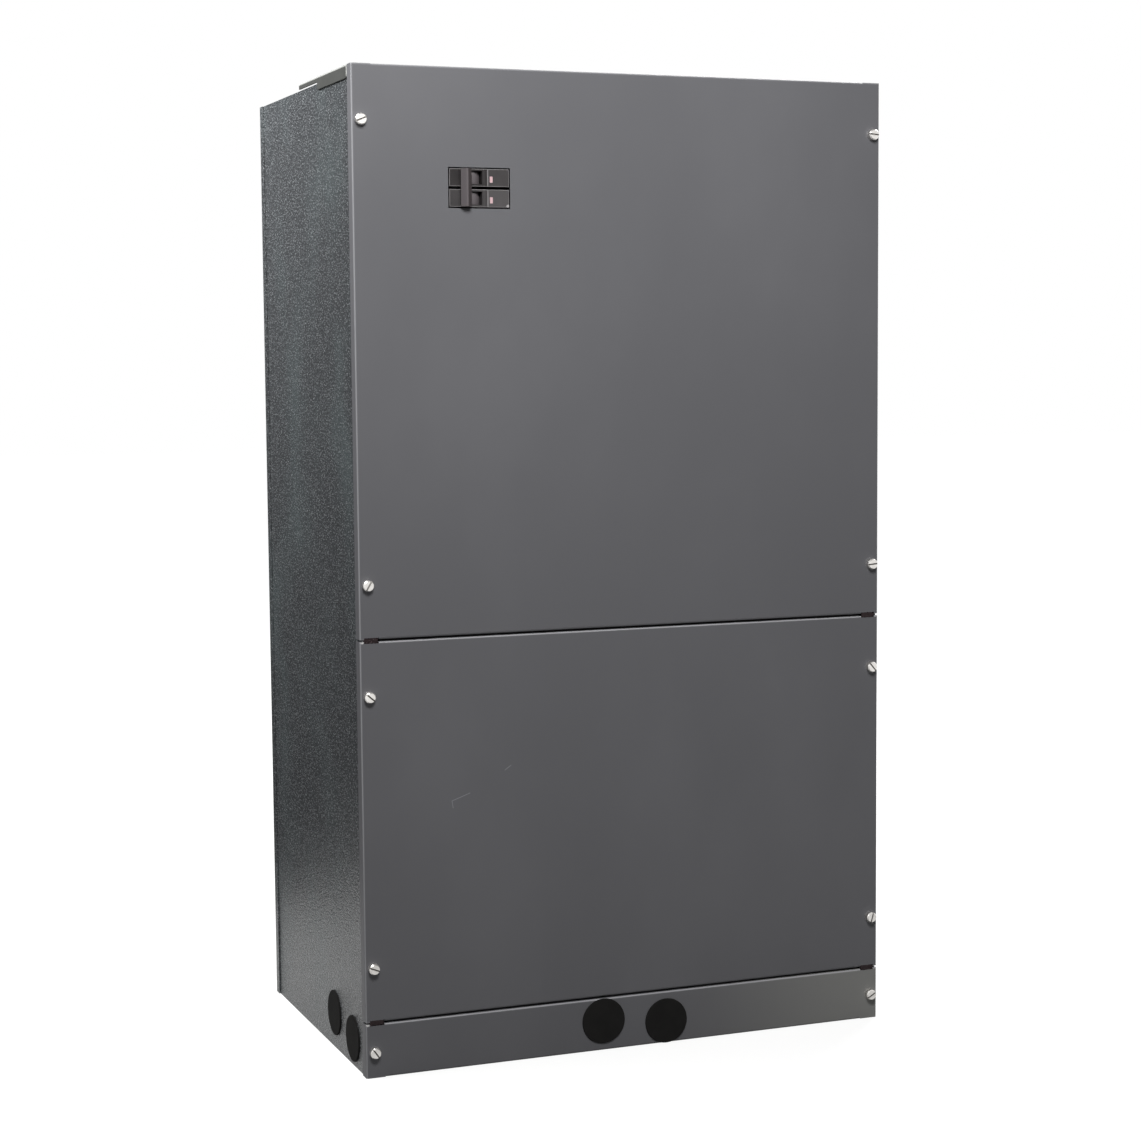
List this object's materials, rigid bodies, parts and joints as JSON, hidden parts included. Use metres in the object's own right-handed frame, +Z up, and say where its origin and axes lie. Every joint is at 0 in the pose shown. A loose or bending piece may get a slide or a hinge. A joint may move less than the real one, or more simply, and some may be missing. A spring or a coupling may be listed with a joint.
{
  "type": "air handling unit",
  "caption": "Upright air handling unit: folded sheet cabinet with screwed front panels, a tied breaker, plugged drain outlets, top supply and bottom return openings.",
  "frame": {"origin": "centre of the cabinet's footprint, on the floor", "axes": "+Z up, the front panels face -Y, +X to the right of someone facing them"},
  "size_m": [0.5266, 0.3383, 0.92],
  "materials": {
    "front_paint": "smooth satin charcoal paint",
    "side_paint": "embossed charcoal paint, semi-gloss",
    "galvanised": "galvanised sheet",
    "breaker_moulding": "black moulded plastic",
    "handle_moulding": "dark moulded plastic",
    "flag_plastic": "pale pink-white plastic",
    "plug_rubber": "matte black rubber",
    "pan_plastic": "black moulded plastic",
    "liner_foil": "foil-faced insulation",
    "coil_fins": "bare aluminium fins",
    "motor_paint": "black paint"
  },
  "bodies": {
    "cabinet": {"upper_front_panel": "front_paint", "lower_front_panel": "front_paint", "base_front_panel": "front_paint", "left_side_panel": "side_paint", "right_side_panel": "side_paint", "back_panel": "side_paint", "top_panel": "side_paint", "base_pan": "galvanised", "supply_collar": "galvanised", "left_plenum_clip": "front_paint", "right_plenum_clip": "front_paint", "top_front_rail": "galvanised", "middle_rail": "galvanised", "low_rail": "galvanised", "breaker_upper_pole": "breaker_moulding", "breaker_lower_pole": "breaker_moulding", "trip_flags": "flag_plastic", "breaker_bracket": "galvanised", "control_partition": "galvanised", "front_left_plug": "plug_rubber", "front_right_plug": "plug_rubber", "side_front_plug": "plug_rubber", "side_rear_plug": "plug_rubber", "drain_pan": "pan_plastic", "left_liner": "liner_foil", "right_liner": "liner_foil", "back_liner": "liner_foil", "blower_deck": "galvanised", "blower_scroll": "galvanised", "blower_left_plate": "galvanised", "blower_right_plate": "galvanised", "blower_wheel": "galvanised", "blower_motor": "motor_paint", "motor_arms": "galvanised", "coil_front_slab": "coil_fins", "coil_rear_slab": "coil_fins", "coil_left_end": "galvanised", "coil_right_end": "galvanised", "coil_apex_cap": "galvanised"},
    "handle": {"breaker_handle": "handle_moulding"}
  },
  "joints": [
    {"name": "breaker_handle_swing", "type": "hinge", "parent": "cabinet", "child": "handle", "pos_m": [-0.1515, -0.1525, 0.807], "axis": [0, 0, 1], "range_deg": [0, 44]}
  ]
}
